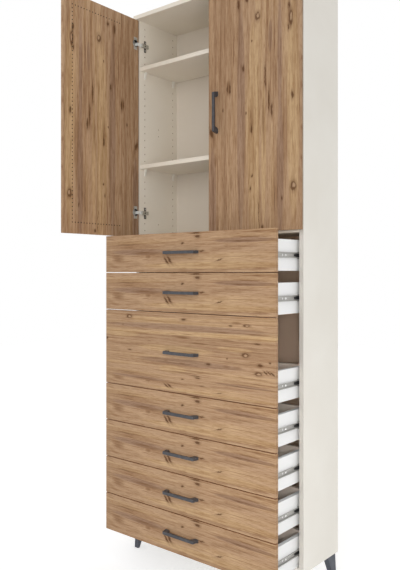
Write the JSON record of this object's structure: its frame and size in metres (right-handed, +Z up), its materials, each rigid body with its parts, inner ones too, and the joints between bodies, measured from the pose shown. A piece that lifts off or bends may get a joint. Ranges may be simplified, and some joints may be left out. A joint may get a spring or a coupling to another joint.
{
  "type": "tall cabinet",
  "caption": "Tall freestanding cabinet with hinged oak-look doors over shelves, a stack of drawers on ball slides, bow handles and tapered feet.",
  "frame": {"origin": "on the floor, at the middle of the overall box with the left door and the drawers open as stored (7 mm left of the middle between the cabinet's sides, and 88 mm in front of the plane of the sides' front edges)", "axes": "+X to the right seen from the front, +Y from the front to the back, +Z up"},
  "size_m": [0.8984, 0.7124, 2.426],
  "materials": {
    "carcass_board": "matt pale beige melamine",
    "back_board": "matt pale beige hardboard",
    "drawer_board": "matt white melamine",
    "oak_board": "knotty oak grain, matt",
    "handle_metal": "dark grey powder coat",
    "foot_plastic": "dark grey satin",
    "hinge_metal": "bright nickel",
    "support_metal": "bright nickel",
    "slide_metal": "zinc plate",
    "cage_metal": "zinc plate"
  },
  "bodies": {
    "carcass": {"left_side_panel": "carcass_board", "right_side_panel": "carcass_board", "top_panel": "carcass_board", "bottom_panel": "carcass_board", "divider_panel": "carcass_board", "back_panel": "back_board", "shelves": "carcass_board", "shelf_supports": "support_metal", "feet": "foot_plastic", "hinge_arms": "hinge_metal", "hinge_plates": "hinge_metal", "slide_rails": "slide_metal"},
    "left_door": {"left_door": "oak_board", "left_door_handle": "handle_metal", "left_hinge_cups": "hinge_metal"},
    "right_door": {"right_door": "oak_board", "right_door_handle": "handle_metal", "right_hinge_cups": "hinge_metal"},
    "drawer_1": {"drawer_1_front": "oak_board", "drawer_1_box": "drawer_board", "drawer_1_base": "drawer_board", "drawer_1_handle": "handle_metal", "drawer_1_runners": "slide_metal"},
    "ball_cages_1": {"drawer_1_ball_cages": "cage_metal"},
    "drawer_2": {"drawer_2_front": "oak_board", "drawer_2_box": "drawer_board", "drawer_2_base": "drawer_board", "drawer_2_handle": "handle_metal", "drawer_2_runners": "slide_metal"},
    "ball_cages_2": {"drawer_2_ball_cages": "cage_metal"},
    "drawer_3": {"drawer_3_front": "oak_board", "drawer_3_box": "drawer_board", "drawer_3_base": "drawer_board", "drawer_3_handle": "handle_metal", "drawer_3_runners": "slide_metal"},
    "ball_cages_3": {"drawer_3_ball_cages": "cage_metal"},
    "drawer_4": {"drawer_4_front": "oak_board", "drawer_4_box": "drawer_board", "drawer_4_base": "drawer_board", "drawer_4_handle": "handle_metal", "drawer_4_runners": "slide_metal"},
    "ball_cages_4": {"drawer_4_ball_cages": "cage_metal"},
    "drawer_5": {"drawer_5_front": "oak_board", "drawer_5_box": "drawer_board", "drawer_5_base": "drawer_board", "drawer_5_handle": "handle_metal", "drawer_5_runners": "slide_metal"},
    "ball_cages_5": {"drawer_5_ball_cages": "cage_metal"},
    "drawer_6": {"drawer_6_front": "oak_board", "drawer_6_box": "drawer_board", "drawer_6_base": "drawer_board", "drawer_6_handle": "handle_metal", "drawer_6_runners": "slide_metal"},
    "ball_cages_6": {"drawer_6_ball_cages": "cage_metal"},
    "drawer_7": {"drawer_7_front": "oak_board", "drawer_7_box": "drawer_board", "drawer_7_base": "drawer_board", "drawer_7_handle": "handle_metal", "drawer_7_runners": "slide_metal"},
    "ball_cages_7": {"drawer_7_ball_cages": "cage_metal"}
  },
  "joints": [
    {"name": "left_door_hinge", "type": "hinge", "parent": "carcass", "child": "left_door", "pos_m": [-0.42547, 0.075, 1.911], "axis": [0, 0, 1], "range_deg": [-4, 88.5]},
    {"name": "right_door_hinge", "type": "hinge", "parent": "carcass", "child": "right_door", "pos_m": [0.43993, 0.075, 1.911], "axis": [0, 0, 1], "range_deg": [0, 93]},
    {"name": "drawer_1_slide", "type": "slide", "parent": "carcass", "child": "drawer_1", "axis": [0, -1, 0], "range_m": [-0.1674, 0.0226]},
    {"name": "ball_cages_1_roll", "type": "slide", "parent": "carcass", "child": "ball_cages_1", "axis": [0, -1, 0], "range_m": [-0.0837, 0.0113]},
    {"name": "drawer_2_slide", "type": "slide", "parent": "carcass", "child": "drawer_2", "axis": [0, -1, 0], "range_m": [-0.1674, 0.0226]},
    {"name": "ball_cages_2_roll", "type": "slide", "parent": "carcass", "child": "ball_cages_2", "axis": [0, -1, 0], "range_m": [-0.0837, 0.0113]},
    {"name": "drawer_3_slide", "type": "slide", "parent": "carcass", "child": "drawer_3", "axis": [0, -1, 0], "range_m": [-0.1674, 0.0226]},
    {"name": "ball_cages_3_roll", "type": "slide", "parent": "carcass", "child": "ball_cages_3", "axis": [0, -1, 0], "range_m": [-0.0837, 0.0113]},
    {"name": "drawer_4_slide", "type": "slide", "parent": "carcass", "child": "drawer_4", "axis": [0, -1, 0], "range_m": [-0.1674, 0.0226]},
    {"name": "ball_cages_4_roll", "type": "slide", "parent": "carcass", "child": "ball_cages_4", "axis": [0, -1, 0], "range_m": [-0.0837, 0.0113]},
    {"name": "drawer_5_slide", "type": "slide", "parent": "carcass", "child": "drawer_5", "axis": [0, -1, 0], "range_m": [-0.1674, 0.0226]},
    {"name": "ball_cages_5_roll", "type": "slide", "parent": "carcass", "child": "ball_cages_5", "axis": [0, -1, 0], "range_m": [-0.0837, 0.0113]},
    {"name": "drawer_6_slide", "type": "slide", "parent": "carcass", "child": "drawer_6", "axis": [0, -1, 0], "range_m": [-0.1674, 0.0226]},
    {"name": "ball_cages_6_roll", "type": "slide", "parent": "carcass", "child": "ball_cages_6", "axis": [0, -1, 0], "range_m": [-0.0837, 0.0113]},
    {"name": "drawer_7_slide", "type": "slide", "parent": "carcass", "child": "drawer_7", "axis": [0, -1, 0], "range_m": [-0.1674, 0.0226]},
    {"name": "ball_cages_7_roll", "type": "slide", "parent": "carcass", "child": "ball_cages_7", "axis": [0, -1, 0], "range_m": [-0.0837, 0.0113]}
  ],
  "couplings": [
    {"joint": "ball_cages_1_roll", "follows": "drawer_1_slide", "ratio": 0.5},
    {"joint": "ball_cages_2_roll", "follows": "drawer_2_slide", "ratio": 0.5},
    {"joint": "ball_cages_3_roll", "follows": "drawer_3_slide", "ratio": 0.5},
    {"joint": "ball_cages_4_roll", "follows": "drawer_4_slide", "ratio": 0.5},
    {"joint": "ball_cages_5_roll", "follows": "drawer_5_slide", "ratio": 0.5},
    {"joint": "ball_cages_6_roll", "follows": "drawer_6_slide", "ratio": 0.5},
    {"joint": "ball_cages_7_roll", "follows": "drawer_7_slide", "ratio": 0.5}
  ]
}
